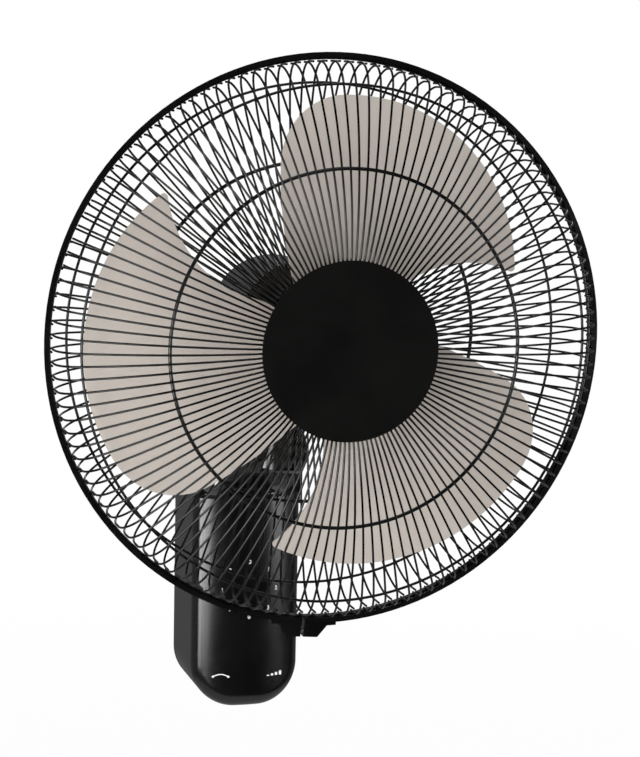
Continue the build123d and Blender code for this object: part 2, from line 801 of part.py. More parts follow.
# Slotted arm on top of the post: the crank's pin pushes against it to swing the head
pin_far = crank_offset + crank_throw
pin_near = sqrt(crank_offset ** 2 + crank_throw ** 2
                + 2 * crank_offset * crank_throw * cos(radians(crank_ends)))
slot_half_width = crank_pin_radius + crank_pin_play
with BuildPart() as swing_arm:
    with BuildSketch(Plane.XY.offset(post_top)):
        with Locations((0, swing_y)):
            Circle(swing_arm_hub)
        with Locations((0, swing_y + pin_far)):
            Circle(slot_half_width + swing_arm_rim)
        make_hull()
        with Locations((0, swing_y)):
            Circle(arm_screw_radius + seat_gap, mode=Mode.SUBTRACT)
        with Locations((0, swing_y + (pin_near + pin_far) / 2)):
            SlotCenterToCenter(pin_far - pin_near, 2 * slot_half_width, rotation=90, mode=Mode.SUBTRACT)
    extrude(amount=swing_arm_thickness)
swing_arm.part.label = "swing_arm"
export_step(swing_arm.part, "parts/swing_arm.step")

with BuildPart() as arm_screw:
    add(upright(0, swing_y, arm_screw_seat, arm_screw_seat + arm_screw_head_height, arm_screw_head_radius))
    add(upright(0, swing_y, arm_screw_seat - arm_screw_length, arm_screw_seat, arm_screw_radius))
arm_screw.part.label = "arm_screw"
export_step(arm_screw.part, "parts/arm_screw.step")

crank_bottom = arm_screw_seat + arm_screw_head_height + lever_gap
crank_top = crank_bottom + crank_thickness
shelf_bottom = crank_top + lever_gap
swing_motor_bottom = shelf_bottom + shelf_thickness
with BuildPart() as swing_crank:
    add(upright(0, crank_y, crank_bottom, crank_top, crank_throw + crank_pin_radius + crank_rim))
    add(upright(0, crank_y + crank_throw, post_top + crank_pin_tip, crank_bottom, crank_pin_radius))
    add(upright(0, crank_y, crank_top, crank_top + crank_shaft_length, crank_shaft_radius))
swing_crank.part.label = "swing_crank"
export_step(swing_crank.part, "parts/swing_crank.step")

with BuildPart() as swing_motor:
    add(upright(0, crank_y, swing_motor_bottom, swing_motor_bottom + swing_motor_height, swing_motor_radius))
    add(upright(0, crank_y, swing_motor_bottom, crank_top + crank_shaft_length + screw_end_gap,
                crank_shaft_radius + turn_gap), mode=Mode.SUBTRACT)
swing_motor.part.label = "swing_motor"
export_step(swing_motor.part, "parts/swing_motor.step")

bracket_back = -motor_front - bracket_thickness  # back of the front bracket
stator_back = -stator_front - stator_length
rear_bracket_front = stator_back - winding_length - rear_bracket_gap
rear_bracket_back = rear_bracket_front - rear_bracket_thickness
cover_back = -motor_front - motor_length
bracket_radius = cover_front_radius - cover_wall - 2 * seat_gap


def bracket_box(x, back, front, bottom, top):
    # A block of the casting: half width x, its y range and its height range.
    with BuildPart() as block:
        with BuildSketch(Plane.XY.offset(bottom)):
            with Locations((0, (back + front) / 2)):
                Rectangle(2 * x, back - front)
        extrude(amount=top - bottom)
    return block.part


# Casting behind the motor: the sleeve that turns on the post, and the shelf for the swing motor
plate_front_y = rim_y - rear_bracket_back
plate_back_y = plate_front_y + bracket_plate_thickness
bracket_screw_places = [(side * bracket_screw_spacing / 2, bracket_screw_height) for side in (-1, 1)]
with BuildPart() as swivel_bracket:
    add(upright(0, swing_y, sleeve_bottom, sleeve_top, sleeve_radius))
    add(bracket_box(bracket_plate_half_width, plate_back_y, plate_front_y,
                    bracket_plate_bottom, bracket_plate_top))
    add(bracket_box(sleeve_radius - 1, swing_y, plate_back_y, bracket_plate_bottom, sleeve_top))
    add(bracket_box(bracket_web_half_width, plate_back_y + bracket_web_depth, plate_back_y,
                    bracket_plate_bottom, shelf_bottom))
    add(bracket_box(shelf_half_width, -shelf_back, plate_back_y, shelf_bottom, swing_motor_bottom))
    add(upright(0, swing_y, sleeve_bottom, sleeve_top, post_radius + turn_gap), mode=Mode.SUBTRACT)
    add(upright(0, crank_y, shelf_bottom, swing_motor_bottom, crank_shaft_radius + 1), mode=Mode.SUBTRACT)
    for x, z in bracket_screw_places:
        add(outward(x, z, -plate_back_y, -plate_front_y, bracket_screw_radius + seat_gap), mode=Mode.SUBTRACT)
swivel_bracket.part.label = "swivel_bracket"
export_step(swivel_bracket.part, "parts/swivel_bracket.step")

with BuildPart() as bracket_screws:
    for x, z in bracket_screw_places:
        add(outward(x, z, -plate_back_y - bracket_screw_head_height, -plate_back_y,
                    bracket_screw_head_radius))
        add(outward(x, z, -plate_back_y, -plate_front_y + rear_bracket_thickness, bracket_screw_radius))
bracket_screws.part.label = "bracket_screws"
export_step(bracket_screws.part, "parts/bracket_screws.step")


def cover_shape(grow):
    # The motor cover's outside, made larger all round by grow.
    with BuildPart() as shape:
        with BuildSketch(meridian):
            with BuildLine():
                Polyline((0, -motor_front), (cover_front_radius + grow, -motor_front),
                         (cover_back_radius + grow, cover_back - grow), (0, cover_back - grow), close=True)
            make_face()
        revolve(axis=fan_axis)
        fillet(shape.edges().filter_by(GeomType.CIRCLE).sort_by(Axis.Y)[-1], cover_corner_radius)
    return shape.part


with BuildPart() as motor_cover:
    add(cover_shape(0))
    offset(amount=-cover_wall, openings=motor_cover.faces().sort_by(Axis.Y)[0])
    with BuildSketch(fan_front.offset(cover_back)):
        with PolarLocations((cover_slot_inner + cover_slot_outer) / 2, cover_slot_count):
            SlotOverall(cover_slot_outer - cover_slot_inner, cover_slot_width)
    extrude(amount=cover_wall, mode=Mode.SUBTRACT)
    add(upright(0, swing_y, sleeve_bottom, sleeve_top, sleeve_radius + 2 * seat_gap), mode=Mode.SUBTRACT)
    add(crosswise(rim_y + motor_front + bracket_thickness / 2, fan_height, -cover_front_radius,
                  cover_front_radius, side_screw_radius + seat_gap), mode=Mode.SUBTRACT)
motor_cover.part.label = "motor_cover"
export_step(motor_cover.part, "parts/motor_cover.step")

# Round housing between the motor cover and the neck
housing_bottom = column_seam + column_joint_gap
with BuildPart() as column_housing:
    add(upright(0, swing_y, housing_bottom, fan_height - cover_back_radius / 2, column_radius))
    add(upright(0, swing_y, housing_bottom + column_wall, fan_height, column_radius - column_wall),
        mode=Mode.SUBTRACT)
    add(upright(0, swing_y, housing_bottom, housing_bottom + column_wall, sleeve_radius + seat_gap),
        mode=Mode.SUBTRACT)
    add(cover_shape(seat_gap), mode=Mode.SUBTRACT)
column_housing.part.label = "column_housing"
export_step(column_housing.part, "parts/column_housing.step")

side_screw_y = rim_y + motor_front + bracket_thickness / 2
with BuildPart() as motor_cover_screws:
    for side in (-1, 1):
        head_seat = side * cover_front_radius
        add(crosswise(side_screw_y, fan_height, head_seat, head_seat + side * side_screw_head_height,
                      side_screw_head_radius))
        add(crosswise(side_screw_y, fan_height, head_seat - side * side_screw_length, head_seat,
                      side_screw_radius))
motor_cover_screws.part.label = "motor_cover_screws"
export_step(motor_cover_screws.part, "parts/motor_cover_screws.step")

# Front bracket with the threaded nose that the rear guard and its nut sit on
front_bearing_back = bracket_back + 2
front_bearing_front = front_bearing_back + bearing_width
with BuildPart() as motor_front_bracket:
    add(disc(bracket_back, -motor_front, bracket_radius))
    add(disc(-motor_front, -motor_front + nose_length, nose_radius))
    add(disc(bracket_back, front_bearing_front, bearing_radius + fixed_gap), mode=Mode.SUBTRACT)
    add(disc(bracket_back, -motor_front + nose_length, shaft_radius + 1), mode=Mode.SUBTRACT)
    with BuildSketch(fan_front.offset(bracket_back)):
        with PolarLocations(motor_bolt_circle, 4, start_angle=45):
            Circle(motor_bolt_radius + fixed_gap)
    extrude(amount=motor_bolt_grip, mode=Mode.SUBTRACT)
    for side in (-1, 1):
        add(crosswise(side_screw_y, fan_height, side * (cover_front_radius - side_screw_length - 1),
                      side * cover_front_radius, side_screw_radius + fixed_gap), mode=Mode.SUBTRACT)
motor_front_bracket.part.label = "motor_front_bracket"
export_step(motor_front_bracket.part, "parts/motor_front_bracket.step")

rear_bearing_front = rear_bracket_front - 1
rear_bearing_back = rear_bearing_front - bearing_width
with BuildPart() as motor_rear_bracket:
    add(disc(rear_bracket_back, rear_bracket_front, rear_bracket_radius))
    add(disc(rear_bracket_back - rear_boss_depth, rear_bracket_back, nose_radius))
    add(disc(rear_bearing_back - 2, rear_bracket_front, bearing_radius + fixed_gap), mode=Mode.SUBTRACT)
    with BuildSketch(fan_front.offset(rear_bracket_back)):
        with PolarLocations(motor_bolt_circle, 4, start_angle=45):
            Circle(motor_bolt_radius + seat_gap)
    extrude(amount=rear_bracket_thickness, mode=Mode.SUBTRACT)
    for x, z in bracket_screw_places:
        add(outward(x, z, -plate_front_y, -plate_front_y + rear_bracket_thickness,
                    bracket_screw_radius + fixed_gap), mode=Mode.SUBTRACT)
motor_rear_bracket.part.label = "motor_rear_bracket"
export_step(motor_rear_bracket.part, "parts/motor_rear_bracket.step")

# Four long bolts that clamp the two brackets together
with BuildPart() as motor_bolts:
    with BuildSketch(fan_front.offset(rear_bracket_back)):
        with PolarLocations(motor_bolt_circle, 4, start_angle=45):
            Circle(motor_bolt_radius)
    extrude(amount=bracket_back + motor_bolt_grip - rear_bracket_back)
    with BuildSketch(fan_front.offset(rear_bracket_back)):
        with PolarLocations(motor_bolt_circle, 4, start_angle=45):
            Circle(motor_bolt_head_radius)
    extrude(amount=-motor_bolt_head_height)
motor_bolts.part.label = "motor_bolts"
export_step(motor_bolts.part, "parts/motor_bolts.step")

with BuildPart() as motor_bearings:
    for back in (rear_bearing_back, front_bearing_back):
        add(disc(back, back + bearing_width, bearing_radius, shaft_radius + turn_gap))
motor_bearings.part.label = "motor_bearings"
export_step(motor_bearings.part, "parts/motor_bearings.step")

rotor_radius = winding_inner - 2 - air_gap
with BuildPart() as stator_core:
    add(disc(stator_back, -stator_front, stator_radius, rotor_radius + air_gap))
stator_core.part.label = "stator_core"
export_step(stator_core.part, "parts/stator_core.step")

with BuildPart() as stator_windings:
    for back in (-stator_front, stator_back - winding_length):
        add(disc(back, back + winding_length, winding_outer, winding_inner))
stator_windings.part.label = "stator_windings"
export_step(stator_windings.part, "parts/stator_windings.step")

rotor_front = -stator_front - rotor_inset
rotor_back = stator_back + rotor_inset
with BuildPart() as rotor:
    add(disc(rotor_back, rotor_front, rotor_radius, shaft_radius + fixed_gap))
rotor.part.label = "rotor"
export_step(rotor.part, "parts/rotor.step")

boss_back = -hub_back + 1  # back of the boss inside the blade's hub
pin_level = boss_back + drive_pin_radius + seat_gap / 2
with BuildPart() as motor_shaft:
    add(disc(rear_bearing_back - 1, hub_front + shaft_past_hub, shaft_radius))
    add(crosswise(rim_y - pin_level, fan_height, -shaft_radius, shaft_radius, drive_pin_radius + fixed_gap),
        mode=Mode.SUBTRACT)
motor_shaft.part.label = "motor_shaft"
export_step(motor_shaft.part, "parts/motor_shaft.step")

with BuildPart() as drive_pin:
    add(crosswise(rim_y - pin_level, fan_height, -drive_pin_length / 2, drive_pin_length / 2,
                  drive_pin_radius))
drive_pin.part.label = "drive_pin"
export_step(drive_pin.part, "parts/drive_pin.step")

with BuildPart() as blade_nut:
    add(disc(hub_front, hub_front + blade_nut_height, blade_nut_radius))
    fillet(blade_nut.edges().sort_by(Axis.Y)[0], blade_nut_height / 3)
    add(disc(hub_front, hub_front + shaft_past_hub + 1, shaft_radius + fixed_gap), mode=Mode.SUBTRACT)
blade_nut.part.label = "blade_nut"
export_step(blade_nut.part, "parts/blade_nut.step")


def around(angle, radius):
    # A point at an angle clockwise from the top, as seen from the front.
    return radius * sin(radians(angle)), radius * cos(radians(angle))


def blade_sheet():
    # The blade's skin: each line out from the axis is straight, and it falls back with the angle.
    rows = []
    angles = range(blade_round_root - 20, blade_point[0] + 30, 8)
    for share in (0.1, 0.3, 0.5, 0.7, 0.9):
        rows.append([Vector(*around(angle, share * rim_radius), (blade_level - angle) * blade_rise)
                     for angle in angles])
    return Face.make_surface_from_array_of_points(rows)


# One blade, drawn round the Z axis and facing +Z: pointed on the side it turns towards, round behind
blade_root = hub_radius - hub_wall - 1
with BuildPart() as one_blade:
    thicken(to_thicken=blade_sheet(), amount=blade_thickness / 2, both=True)
    with BuildSketch(Plane.XY.offset(-rim_radius / 4)) as blade_outline:
        with BuildLine():
            rim_side = ThreePointArc(around(*blade_point), around(*blade_rim_middle), around(*blade_round))
            round_side = ThreePointArc(rim_side @ 1, around(*blade_round_middle), around(*blade_round_waist))
            round_root = Line(round_side @ 1, around(blade_round_root, blade_root))
            inside = ThreePointArc(round_root @ 1, around(0, blade_root),
                                   around(blade_point_root, blade_root))
            point_root = Line(inside @ 1, around(*blade_point_waist))
            ThreePointArc(point_root @ 1, around(*blade_point_middle), rim_side @ 0)
        make_face()
        fillet(blade_outline.vertices().sort_by_distance(around(*blade_point))[0], blade_point_round)
        fillet(blade_outline.vertices().sort_by_distance(around(*blade_round))[0], blade_round_radius)
    extrude(amount=rim_radius / 2, mode=Mode.INTERSECT)

with BuildPart(fan_front) as fan_blade:
    with PolarLocations(0, blade_count):
        add(one_blade.part)
    with BuildSketch(fan_front.offset(-hub_back)):
        Circle(hub_radius)
        Circle(hub_radius - hub_wall, mode=Mode.SUBTRACT)
    extrude(amount=hub_back + hub_front)
    with BuildSketch(fan_front.offset(hub_front - hub_wall)):
        Circle(hub_radius)
    extrude(amount=hub_wall)
    with BuildSketch(fan_front.offset(boss_back)):
        Circle(hub_boss_radius)
    extrude(amount=hub_front - boss_back)
    with BuildSketch(fan_front.offset(boss_back)):
        Circle(shaft_radius + fixed_gap)
    extrude(amount=hub_front - boss_back, mode=Mode.SUBTRACT)
    with BuildSketch(fan_front.offset(boss_back)):
        Rectangle(2 * hub_boss_radius, 2 * drive_pin_radius + seat_gap)
    extrude(amount=hub_pin_slot + seat_gap, mode=Mode.SUBTRACT)
fan_blade.part.label = "fan_blade"
export_step(fan_blade.part, "parts/fan_blade.step")

edge_ring_radius = rim_radius - band_wall - seat_gap - edge_ring_diameter / 2
edge_ring_level = (edge_ring_diameter + seat_gap) / 2
wire_end_radius = edge_ring_radius - (edge_ring_diameter + wire_diameter) / 2 - seat_gap
flange_radius = edge_ring_radius + edge_ring_diameter / 2 - rim_flange_cover


def wire_bulge(side, knee, middle, outer):
    # The long curve of a wire from its knee out to the outer ring, as radius and distance forward.
    return ThreePointArc((knee_radius, side * knee), (middle_wire_radius, side * middle),
                         (outer_wire_radius, side * outer))


def wires(side, bulge, root, start, hand):
    # The wires of one half of the guard's front or back. Side is 1 in front of the rim plane and -1
    # behind it; hand is 1 on the right and -1 on the left.
    heading = bulge % 1
    bend = (wire_end_radius - outer_wire_radius) / (1 - abs(heading.Y))
    shoulder_end = (wire_end_radius, (bulge @ 1).Y - side * bend * heading.X)
    with BuildPart() as wire:
        with BuildLine() as route:
            add(bulge)
            TangentArc(bulge @ 0, root, tangent=-(bulge % 0))
            TangentArc(bulge @ 1, shoulder_end, tangent=heading)
            Line(shoulder_end, (wire_end_radius, side * wire_end))
        with BuildSketch(Plane(origin=(wire_end_radius, side * wire_end, 0), z_dir=(0, side, 0))):
            Circle(wire_diameter / 2)
        sweep(path=route.wires()[0])
    upright_wire = Plane.XZ * wire.part
    with BuildPart(fan_front) as bundle:
        with PolarLocations(0, wire_count // 2, start_angle=start - hand * 90, angular_range=180,
                            endpoint=False):
            add(upright_wire)
    return bundle.part


def ring(radius, level, diameter):
    # A wire ring round the fan axis.
    with BuildPart() as hoop:
        with BuildSketch(meridian):
            with Locations((radius, level)):
                Circle(diameter / 2)
        revolve(axis=fan_axis)
    return hoop.part


def seated_ring(bulge, place, diameter):
    # A ring that lies against the inner side of the wires at one place on their curve.
    inward = (bulge.arc_center - place).normalized()
    centre = place + inward * ((wire_diameter + diameter) / 2 + seat_gap)
    return ring(centre.X, centre.Y, diameter)


front_bulge = wire_bulge(1, front_knee_wire, front_middle_wire, front_outer_wire)
rear_bulge = wire_bulge(-1, rear_knee_wire, rear_middle_wire, rear_outer_wire)

with BuildPart() as front_wires_left:
    add(wires(1, front_bulge, (front_root_radius, front_root_wire), front_wire_start, -1))
front_wires_left.part.label = "front_wires_left"
export_step(front_wires_left.part, "parts/front_wires_left.step")

with BuildPart() as front_wires_right:
    add(wires(1, front_bulge, (front_root_radius, front_root_wire), front_wire_start, 1))
front_wires_right.part.label = "front_wires_right"
export_step(front_wires_right.part, "parts/front_wires_right.step")

with BuildPart() as rear_wires_left:
    add(wires(-1, rear_bulge, (rear_root_radius, -rear_root_wire), rear_wire_start, -1))
rear_wires_left.part.label = "rear_wires_left"
export_step(rear_wires_left.part, "parts/rear_wires_left.step")

with BuildPart() as rear_wires_right:
    add(wires(-1, rear_bulge, (rear_root_radius, -rear_root_wire), rear_wire_start, 1))
rear_wires_right.part.label = "rear_wires_right"
export_step(rear_wires_right.part, "parts/rear_wires_right.step")

# Edge rings of both halves, side by side inside the rim band
with BuildPart() as edge_rings:
    for level in (-edge_ring_level, edge_ring_level):
        add(ring(edge_ring_radius, level, edge_ring_diameter))
edge_rings.part.label = "edge_rings"
export_step(edge_rings.part, "parts/edge_rings.step")

with BuildPart() as front_outer_ring:
    add(seated_ring(front_bulge, front_bulge @ 1, outer_ring_diameter))
front_outer_ring.part.label = "front_outer_ring"
export_step(front_outer_ring.part, "parts/front_outer_ring.step")

with BuildPart() as rear_outer_ring:
    add(seated_ring(rear_bulge, rear_bulge @ 1, outer_ring_diameter))
rear_outer_ring.part.label = "rear_outer_ring"
export_step(rear_outer_ring.part, "parts/rear_outer_ring.step")

with BuildPart() as front_middle_ring:
    add(seated_ring(front_bulge, Vector(middle_wire_radius, front_middle_wire), middle_ring_diameter))
front_middle_ring.part.label = "front_middle_ring"
export_step(front_middle_ring.part, "parts/front_middle_ring.step")

with BuildPart() as rear_middle_ring:
    add(seated_ring(rear_bulge, Vector(middle_wire_radius, -rear_middle_wire), middle_ring_diameter))
rear_middle_ring.part.label = "rear_middle_ring"
export_step(rear_middle_ring.part, "parts/rear_middle_ring.step")

# Rear hub plate, clamped on the motor's nose by the guard nut
rear_plate_front = -motor_front + hub_plate_thickness
with BuildPart() as rear_hub_plate:
    add(disc(-motor_front, rear_plate_front, rear_hub_plate_radius, nose_radius + fixed_gap))
rear_hub_plate.part.label = "rear_hub_plate"
export_step(rear_hub_plate.part, "parts/rear_hub_plate.step")

with BuildPart() as guard_nut:
    add(disc(rear_plate_front, rear_plate_front + guard_nut_height, guard_nut_radius,
             nose_radius + fixed_gap))
guard_nut.part.label = "guard_nut"
export_step(guard_nut.part, "parts/guard_nut.step")

# Front hub plate, and the cap that covers the wires' inner ends
front_plate_front = front_root_wire - wire_diameter / 2 - seat_gap
front_plate_back = front_plate_front - hub_plate_thickness
cap_screw_end = cap_edge_front - cap_wall
with BuildPart() as front_hub_plate:
    add(disc(front_plate_back, front_plate_front, front_hub_plate_radius, cap_screw_radius + seat_gap))
front_hub_plate.part.label = "front_hub_plate"
export_step(front_hub_plate.part, "parts/front_hub_plate.step")

with BuildPart() as front_cap:
    with BuildSketch(meridian):
        with BuildLine():
            middle = Line((0, cap_edge_front + cap_dome), (cap_flat_radius, cap_edge_front + cap_dome))
            crown = TangentArc(middle @ 1, (cap_radius, cap_edge_front), tangent=(1, 0))
            edge = Polyline(crown @ 1, (cap_radius, cap_edge_front - cap_edge_depth),
                            (cap_radius - cap_wall, cap_edge_front - cap_edge_depth))
            under = TangentArc((0, cap_edge_front + cap_dome - cap_wall), edge @ 1, tangent=(1, 0))
            Line(under @ 0, middle @ 0)
        make_face()
    revolve(axis=fan_axis)
    add(disc(front_plate_front, cap_edge_front, cap_boss_radius))
    add(disc(front_plate_front, cap_screw_end, cap_screw_radius + fixed_gap), mode=Mode.SUBTRACT)
front_cap.part.label = "front_cap"
export_step(front_cap.part, "parts/front_cap.step")

with BuildPart() as cap_screw:
    add(disc(front_plate_back - cap_screw_head_height, front_plate_back, cap_screw_head_radius))
    add(disc(front_plate_back, cap_screw_end - screw_end_gap, cap_screw_radius))
cap_screw.part.label = "cap_screw"
export_step(cap_screw.part, "parts/cap_screw.step")

clip_frame = fan_front.rotated((0, clip_angle, 0))
channel_half = edge_ring_level + edge_ring_diameter / 2 + seat_gap
band_half = rim_band_depth / 2


def band_profile(inner, outer):
    # A sloping strip round the rim, from its inner to its outer radius at the front edge.
    with BuildPart() as strip:
        with BuildSketch(meridian):
            with BuildLine():
                Polyline((inner, band_half), (outer, band_half), (outer - rim_taper, -band_half),
                         (inner - rim_taper, -band_half), close=True)
            make_face()
        revolve(axis=fan_axis)
    return strip.part


with BuildPart() as rim_band:
    with BuildSketch(meridian):
        with BuildLine():
            Polyline((flange_radius, band_half), (rim_radius, band_half),
                     (rim_radius - rim_taper, -band_half), (flange_radius, -band_half), close=True)
        make_face()
        with Locations((rim_radius - band_wall, 0)):
            Rectangle(2 * band_wall, 2 * channel_half, align=(Align.MAX, Align.CENTER), mode=Mode.SUBTRACT)
    revolve(axis=fan_axis)
    with BuildSketch(clip_frame.offset(-band_half)):
        with Locations((0, -rim_radius)):
            Rectangle(clip_gap, rim_radius / 4)
    extrude(amount=rim_band_depth, mode=Mode.SUBTRACT)
rim_band.part.label = "rim_band"
export_step(rim_band.part, "parts/rim_band.step")

# Each half of the clip is a flange on the band with a foot below it; one screw pulls them together
clip_foot_level = -(rim_radius + seat_gap + clip_flange_thickness)
clip_screw_line = Plane(origin=clip_frame.from_local_coords((0, clip_foot_level - clip_screw_drop, 0)),
                        z_dir=clip_frame.x_dir)


def along_clip(left, right, radius):
    # A round piece along the clip's screw.
    with BuildPart() as rod:
        with BuildSketch(clip_screw_line.offset(left)):
            Circle(radius)
        extrude(amount=right - left)
    return rod.part


def clip_half(side):
    # One half of the clip; side is -1 on the left and 1 on the right.
    split_face = side * clip_gap / 2
    with BuildPart() as half:
        add(band_profile(rim_radius + seat_gap, rim_radius + seat_gap + clip_flange_thickness))
        with BuildSketch(clip_frame.offset(-band_half)):
            with Locations((split_face + side * clip_flange_length / 2, -rim_radius)):
                Rectangle(clip_flange_length, rim_radius / 4)
        extrude(amount=rim_band_depth, mode=Mode.INTERSECT)
        with BuildSketch(clip_frame.offset(-clip_foot_depth / 2)):
            with BuildLine():
                top = clip_foot_level + clip_flange_thickness / 2
                bottom = clip_foot_level - clip_foot_height
                Polyline((split_face, top), (split_face, bottom), (side * clip_foot_bottom, bottom),
                         (side * clip_foot_top, top), close=True)
            make_face()
        extrude(amount=clip_foot_depth)
        add(band_profile(rim_radius / 2, rim_radius + seat_gap), mode=Mode.SUBTRACT)
        add(along_clip(0, side * clip_foot_top, clip_screw_radius + fixed_gap), mode=Mode.SUBTRACT)
        add(along_clip(side * clip_bore_depth, side * clip_foot_top, clip_screw_head_radius + seat_gap),
            mode=Mode.SUBTRACT)
    return half.part


with BuildPart() as clip_left:
    add(clip_half(-1))
clip_left.part.label = "clip_left"
export_step(clip_left.part, "parts/clip_left.step")

with BuildPart() as clip_right:
    add(clip_half(1))
clip_right.part.label = "clip_right"
export_step(clip_right.part, "parts/clip_right.step")

with BuildPart() as clip_screw:
    add(along_clip(-clip_bore_depth, clip_bore_depth, clip_screw_radius))
    for side in (-1, 1):
        add(along_clip(side * clip_bore_depth, side * (clip_bore_depth + clip_screw_head_height),
                       clip_screw_head_radius))
clip_screw.part.label = "clip_screw"
export_step(clip_screw.part, "parts/clip_screw.step")
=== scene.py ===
import bpy
import bmesh
import math
from mathutils import Matrix, Vector


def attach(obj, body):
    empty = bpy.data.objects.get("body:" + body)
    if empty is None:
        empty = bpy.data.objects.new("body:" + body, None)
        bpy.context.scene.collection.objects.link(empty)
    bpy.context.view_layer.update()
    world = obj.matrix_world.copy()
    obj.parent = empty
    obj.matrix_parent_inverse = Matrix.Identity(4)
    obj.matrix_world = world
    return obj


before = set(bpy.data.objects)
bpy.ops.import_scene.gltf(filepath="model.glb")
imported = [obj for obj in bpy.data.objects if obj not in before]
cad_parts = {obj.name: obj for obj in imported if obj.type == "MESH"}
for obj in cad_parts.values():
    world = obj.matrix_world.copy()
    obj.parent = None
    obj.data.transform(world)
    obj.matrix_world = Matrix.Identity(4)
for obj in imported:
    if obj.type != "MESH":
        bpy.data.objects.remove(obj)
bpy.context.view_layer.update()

# lengths are in metres and angles in degrees; s is the dictionary that belongs to the function
rimCentre = Vector((0, -0.317, 0.25))

# the camera, as solved from the guard's rings; right and up shift it off the line to the rim's centre
camera = {"azimuth": -16.09, "elevation": 8.09, "roll": 1.2, "distance": 1.755, "right": -0.00543,
          "up": -0.02863, "lens": 128.68, "sensorWidth": 36, "clipEnd": 50}


def directionFrom(azimuth, elevation):
    # straight out from the fan; azimuth 0 is its front, and 90 is along X
    a, e = math.radians(azimuth), math.radians(elevation)
    return Vector((math.sin(a) * math.cos(e), -math.cos(a) * math.cos(e), math.sin(e)))


def makeCamera(s):
    azimuth, roll = math.radians(s["azimuth"]), math.radians(s["roll"])
    back = directionFrom(s["azimuth"], s["elevation"])
    right = Vector((math.cos(azimuth), math.sin(azimuth), 0))
    up = back.cross(right)
    place = rimCentre + back * s["distance"] + right * s["right"] + up * s["up"]
    turned = right * math.cos(roll) + up * math.sin(roll)
    data = bpy.data.cameras.new("camera")
    data.lens = s["lens"]
    data.sensor_width = s["sensorWidth"]
    data.sensor_fit = "HORIZONTAL"
    data.clip_end = s["clipEnd"]
    rig = bpy.data.objects.new("camera", data)
    bpy.context.collection.objects.link(rig)
    turn = Matrix((turned, back.cross(turned), back)).transposed().to_4x4()
    rig.matrix_world = Matrix.Translation(place) @ turn
    bpy.context.scene.camera = rig


makeCamera(camera)
print("camera set")


def newMaterial(name):
    mat = bpy.data.materials.new(name)
    mat.use_nodes = True
    nodes, links = mat.node_tree.nodes, mat.node_tree.links
    return mat, nodes, links, nodes["Principled BSDF"]


def addNoise(nodes, links, scale, detail, stretch=(1, 1, 1)):
    # noise over the piece's own metres; stretch below 1 draws it out along that axis
    coords = nodes.new("ShaderNodeTexCoord")
    mapping = nodes.new("ShaderNodeMapping")
    mapping.inputs["Scale"].default_value = stretch
    noise = nodes.new("ShaderNodeTexNoise")
    noise.inputs["Scale"].default_value = scale
    noise.inputs["Detail"].default_value = detail
    links.new(coords.outputs["Object"], mapping.inputs["Vector"])
    links.new(mapping.outputs["Vector"], noise.inputs["Vector"])
    return noise


# between these two values of a pattern lies the whole change of roughness, or of tone
patternSpan = {"roughness": (0.3, 0.7), "tone": (0.35, 0.65)}


def spreadRoughness(nodes, links, source, low, high):
    ramp = nodes.new("ShaderNodeMapRange")
    start, end = patternSpan["roughness"]
    ramp.inputs["From Min"].default_value = start
    ramp.inputs["From Max"].default_value = end
    ramp.inputs["To Min"].default_value = low
    ramp.inputs["To Max"].default_value = high
    links.new(source.outputs[0], ramp.inputs["Value"])
    return ramp.outputs["Result"]


def mixTones(nodes, links, source, dark, light):
    ramp = nodes.new("ShaderNodeValToRGB")
    tones = ramp.color_ramp.elements
    tones[0].position, tones[1].position = patternSpan["tone"]
    tones[0].color = (*dark, 1)
    tones[1].color = (*light, 1)
    links.new(source.outputs[0], ramp.inputs["Fac"])
    return ramp.outputs["Color"]


def addBump(nodes, links, shader, source, strength, depth):
    bump = nodes.new("ShaderNodeBump")
    bump.inputs["Strength"].default_value = strength
    bump.inputs["Distance"].default_value = depth
    links.new(source.outputs[0], bump.inputs["Height"])
    links.new(bump.outputs["Normal"], shader.inputs["Normal"])


def makeFinish(name, s):
    # one finish: colour that drifts between two tones, uneven gloss and a fine grain
    mat, nodes, links, shader = newMaterial(name)
    drift = addNoise(nodes, links, s["driftScale"], detail=4)
    grain = addNoise(nodes, links, s["grainScale"], detail=2, stretch=s.get("stretch", (1, 1, 1)))
    links.new(mixTones(nodes, links, drift, s["dark"], s["light"]), shader.inputs["Base Color"])
    unevenness = grain if s.get("streaks") else drift
    links.new(spreadRoughness(nodes, links, unevenness, *s["roughness"]), shader.inputs["Roughness"])
    addBump(nodes, links, shader, grain, s["bump"], s["bumpDepth"])
    shader.inputs["Metallic"].default_value = s.get("metallic", 0)
    shader.inputs["Specular IOR Level"].default_value = s.get("specular", 0.5)
    shader.inputs["Anisotropic"].default_value = s.get("anisotropic", 0)
    return mat


